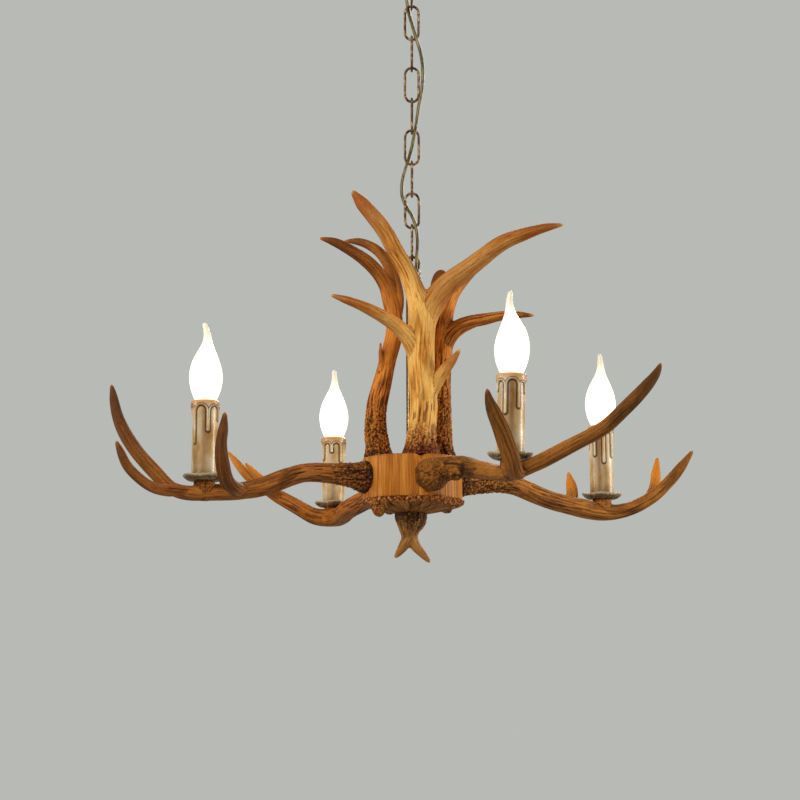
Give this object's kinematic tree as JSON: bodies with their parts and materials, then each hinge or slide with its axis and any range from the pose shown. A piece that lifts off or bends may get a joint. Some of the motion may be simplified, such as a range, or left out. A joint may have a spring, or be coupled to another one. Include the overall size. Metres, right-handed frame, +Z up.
{
  "type": "antler chandelier",
  "caption": "Antler chandelier: cast antler arms with candle lamps round a wooden hub, upright antlers above, hung on a chain and cord from a ceiling canopy.",
  "frame": {"origin": "middle of the two ceiling screw holes, in the plane of the ceiling", "axes": "+Z up out of the ceiling, +X to the right and +Y away from the viewer in the pictured view"},
  "size_m": [0.6224, 0.5003, 0.7097],
  "materials": {
    "antique_brass": "hammered antique brass, worn and dark in the hollows",
    "bronze_rod": "polished dark bronze",
    "zinc_steel": "plain zinc-plated steel",
    "cord_jacket": "clear gold-green cord jacket",
    "nylon": "pale moulded nylon",
    "antler_resin": "painted cast resin, pearled and grooved, satin",
    "hub_wood": "honey wood with upright grain, satin",
    "bark_wood": "rough bark edge and grey-brown underside",
    "candle_resin": "cream sleeve with brown-lined wax drips",
    "dish_metal": "patinated thin metal with a crimped rim",
    "holder_plastic": "moulded lamp holder",
    "bulb_cap_metal": "rolled screw cap",
    "bulb_glass": "frosted warm white glass, lit"
  },
  "bodies": {
    "canopy": {"canopy": "antique_brass", "canopy_crossbar": "zinc_steel", "canopy_nipple": "zinc_steel", "crossbar_locknut": "zinc_steel", "cord_grip": "nylon", "canopy_loop": "antique_brass", "supply_cord": "cord_jacket"},
    "link_1": {"chain_link_1": "antique_brass"},
    "link_2": {"chain_link_2": "antique_brass"},
    "link_3": {"chain_link_3": "antique_brass"},
    "link_4": {"chain_link_4": "antique_brass"},
    "link_5": {"chain_link_5": "antique_brass"},
    "link_6": {"chain_link_6": "antique_brass"},
    "link_7": {"chain_link_7": "antique_brass"},
    "link_8": {"chain_link_8": "antique_brass"},
    "link_9": {"chain_link_9": "antique_brass"},
    "fixture": {"top_loop": "antique_brass", "centre_rod": "bronze_rod", "rod_nut": "zinc_steel", "hub": "hub_wood", "base_slab": "bark_wood", "finial_fork": "antler_resin", "arm_antler_1": "antler_resin", "arm_antler_2": "antler_resin", "arm_antler_3": "antler_resin", "arm_antler_4": "antler_resin", "upright_antler_front": "antler_resin", "upright_antler_left": "antler_resin", "upright_antler_right": "antler_resin", "arm_bolts": "zinc_steel", "upright_screws": "zinc_steel", "terminal_block": "nylon", "drip_dish_1": "dish_metal", "drip_dish_2": "dish_metal", "drip_dish_3": "dish_metal", "drip_dish_4": "dish_metal", "candle_sleeve_1": "candle_resin", "candle_sleeve_2": "candle_resin", "candle_sleeve_3": "candle_resin", "candle_sleeve_4": "candle_resin", "lamp_holder_1": "holder_plastic", "lamp_holder_2": "holder_plastic", "lamp_holder_3": "holder_plastic", "lamp_holder_4": "holder_plastic", "lamp_pins": "zinc_steel"},
    "bulb_1": {"bulb_glass_1": "bulb_glass", "bulb_cap_1": "bulb_cap_metal"},
    "bulb_2": {"bulb_glass_2": "bulb_glass", "bulb_cap_2": "bulb_cap_metal"},
    "bulb_3": {"bulb_glass_3": "bulb_glass", "bulb_cap_3": "bulb_cap_metal"},
    "bulb_4": {"bulb_glass_4": "bulb_glass", "bulb_cap_4": "bulb_cap_metal"}
  },
  "joints": [
    {"name": "link_1_swing", "type": "hinge", "parent": "canopy", "child": "link_1", "pos_m": [0, 0, -0.06065], "axis": [1, 0, 0], "range_deg": [-15, 15], "deforming": ["supply_cord"]},
    {"name": "link_2_swing", "type": "hinge", "parent": "link_1", "child": "link_2", "pos_m": [0, 0, -0.0961], "axis": [0, 1, 0], "range_deg": [-15, 15]},
    {"name": "link_3_swing", "type": "hinge", "parent": "link_2", "child": "link_3", "pos_m": [0, 0, -0.1318], "axis": [1, 0, 0], "range_deg": [-15, 15]},
    {"name": "link_4_swing", "type": "hinge", "parent": "link_3", "child": "link_4", "pos_m": [0, 0, -0.1675], "axis": [0, 1, 0], "range_deg": [-15, 15]},
    {"name": "link_5_swing", "type": "hinge", "parent": "link_4", "child": "link_5", "pos_m": [0, 0, -0.2032], "axis": [1, 0, 0], "range_deg": [-15, 15]},
    {"name": "link_6_swing", "type": "hinge", "parent": "link_5", "child": "link_6", "pos_m": [0, 0, -0.2389], "axis": [0, 1, 0], "range_deg": [-15, 15]},
    {"name": "link_7_swing", "type": "hinge", "parent": "link_6", "child": "link_7", "pos_m": [0, 0, -0.2746], "axis": [1, 0, 0], "range_deg": [-15, 15]},
    {"name": "link_8_swing", "type": "hinge", "parent": "link_7", "child": "link_8", "pos_m": [0, 0, -0.3103], "axis": [0, 1, 0], "range_deg": [-15, 15]},
    {"name": "link_9_swing", "type": "hinge", "parent": "link_8", "child": "link_9", "pos_m": [0, 0, -0.346], "axis": [1, 0, 0], "range_deg": [-15, 15]},
    {"name": "fixture_swing", "type": "hinge", "parent": "link_9", "child": "fixture", "pos_m": [0, 0, -0.3817], "axis": [0, 1, 0], "range_deg": [-12, 12]},
    {"name": "bulb_1_screw", "type": "hinge", "parent": "fixture", "child": "bulb_1", "pos_m": [-0.21108, -0.09134, -0.63375], "axis": [0, 0, 1], "range_deg": [0, 1080]},
    {"name": "bulb_2_screw", "type": "hinge", "parent": "fixture", "child": "bulb_2", "pos_m": [-0.09134, 0.21108, -0.62775], "axis": [0, 0, 1], "range_deg": [0, 1080]},
    {"name": "bulb_3_screw", "type": "hinge", "parent": "fixture", "child": "bulb_3", "pos_m": [0.09134, -0.21108, -0.62775], "axis": [0.0262, 0, 0.9997], "range_deg": [0, 1080]},
    {"name": "bulb_4_screw", "type": "hinge", "parent": "fixture", "child": "bulb_4", "pos_m": [0.21108, 0.09134, -0.63175], "axis": [0, 0, 1], "range_deg": [0, 1080]}
  ]
}
